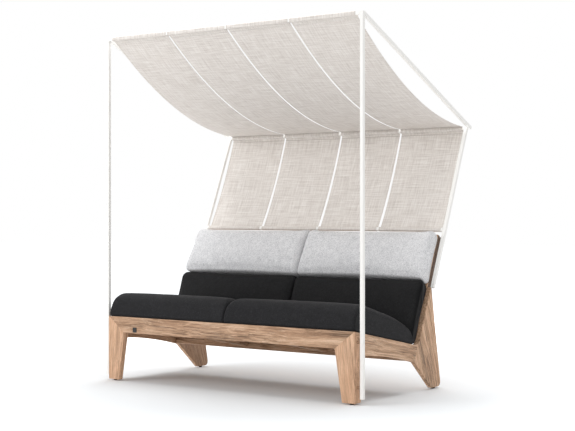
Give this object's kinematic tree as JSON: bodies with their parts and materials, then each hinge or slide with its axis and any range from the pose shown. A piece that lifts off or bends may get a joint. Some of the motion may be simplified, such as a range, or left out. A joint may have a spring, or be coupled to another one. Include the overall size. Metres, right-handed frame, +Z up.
{
  "type": "outdoor daybed with canopy",
  "caption": "Wide outdoor daybed: sloping wood seat frame with raked rear legs and plank back, loose seat and back cushions with headrests, sagging cloth canopy on a slim square-tube frame.",
  "frame": {"origin": "on the floor, at the middle of the bounding box in X and Y", "axes": "+X to the sitter's left as seen from the front, that is the right of the picture; +Y from the front apron to the back; +Z up"},
  "size_m": [1.8912, 1.222, 2.1073],
  "materials": {
    "teak_across": "oiled teak, grain left to right",
    "teak_upright": "oiled teak, grain up the board",
    "teak_rail": "oiled teak, grain along the rail",
    "teak_slat": "plain teak slats",
    "teak_bearer": "plain teak, grain front to back",
    "teak_batten": "plain teak, grain up the back",
    "black_glide": "matt black",
    "dark_plate": "satin near-black, bare",
    "white_tube": "white powder coat",
    "teak_spacer": "oiled teak, turned",
    "white_cap": "white moulded plastic",
    "canopy_cloth": "off-white slub linen weave",
    "seat_cloth": "charcoal outdoor weave",
    "back_cloth": "darker charcoal outdoor weave",
    "headrest_cloth": "light grey outdoor weave"
  },
  "bodies": {
    "frame": {"apron_front": "teak_across", "front_leg_face_left": "teak_upright", "front_leg_face_right": "teak_upright", "front_leg_side_left": "teak_upright", "front_leg_side_right": "teak_upright", "side_rail_left": "teak_rail", "side_rail_right": "teak_rail", "rear_leg_left": "teak_upright", "rear_leg_right": "teak_upright", "rear_rail": "teak_across", "seat_ledger_left": "teak_bearer", "seat_ledger_right": "teak_bearer", "seat_bearer_left": "teak_bearer", "seat_bearer_right": "teak_bearer", "seat_slat_1": "teak_slat", "seat_slat_2": "teak_slat", "seat_slat_3": "teak_slat", "seat_slat_4": "teak_slat", "seat_slat_5": "teak_slat", "seat_slat_6": "teak_slat", "seat_slat_7": "teak_slat", "back_board_1": "teak_across", "back_board_2": "teak_across", "back_board_3": "teak_across", "back_board_top": "teak_across", "back_batten_left": "teak_batten", "back_batten_middle": "teak_batten", "back_batten_right": "teak_batten", "glide_front_left": "black_glide", "glide_front_right": "black_glide", "glide_rear_left": "black_glide", "glide_rear_right": "black_glide", "front_plate": "dark_plate", "canopy_post_left": "white_tube", "canopy_post_right": "white_tube", "post_cap_left": "white_cap", "post_cap_right": "white_cap", "post_spacer_low_left": "teak_spacer", "post_spacer_low_right": "teak_spacer", "post_spacer_high_left": "teak_spacer", "post_spacer_high_right": "teak_spacer", "canopy_front_rail": "white_tube", "canopy_side_rail_left": "white_tube", "canopy_side_rail_right": "white_tube", "side_rail_cap_left": "white_cap", "side_rail_cap_right": "white_cap", "canopy_upright_left": "white_tube", "canopy_upright_right": "white_tube", "canopy_rear_rail": "white_tube", "canopy_lower_rail": "white_tube", "canopy_strip_1": "canopy_cloth", "canopy_strip_2": "canopy_cloth", "canopy_strip_3": "canopy_cloth", "canopy_strip_4": "canopy_cloth"},
    "seat_cushion_left": {"seat_cushion_left": "seat_cloth"},
    "seat_cushion_right": {"seat_cushion_right": "seat_cloth"},
    "back_cushion_left": {"back_cushion_left": "back_cloth"},
    "back_cushion_right": {"back_cushion_right": "back_cloth"},
    "headrest_left": {"headrest_left": "headrest_cloth"},
    "headrest_right": {"headrest_right": "headrest_cloth"}
  },
  "joints": [
    {"name": "seat_lift_left", "type": "slide", "parent": "frame", "child": "seat_cushion_left", "axis": [0, -0.5, 0.866], "range_m": [0, 0.25]},
    {"name": "seat_lift_right", "type": "slide", "parent": "frame", "child": "seat_cushion_right", "axis": [0, -0.5, 0.866], "range_m": [0, 0.25]},
    {"name": "back_lift_left", "type": "slide", "parent": "frame", "child": "back_cushion_left", "axis": [0, 0, 1], "range_m": [0, 0.25]},
    {"name": "back_lift_right", "type": "slide", "parent": "frame", "child": "back_cushion_right", "axis": [0, 0, 1], "range_m": [0, 0.25]},
    {"name": "headrest_lift_left", "type": "slide", "parent": "back_cushion_left", "child": "headrest_left", "axis": [0, 0, 1], "range_m": [0, 0.25]},
    {"name": "headrest_lift_right", "type": "slide", "parent": "back_cushion_right", "child": "headrest_right", "axis": [0, 0, 1], "range_m": [0, 0.25]}
  ]
}
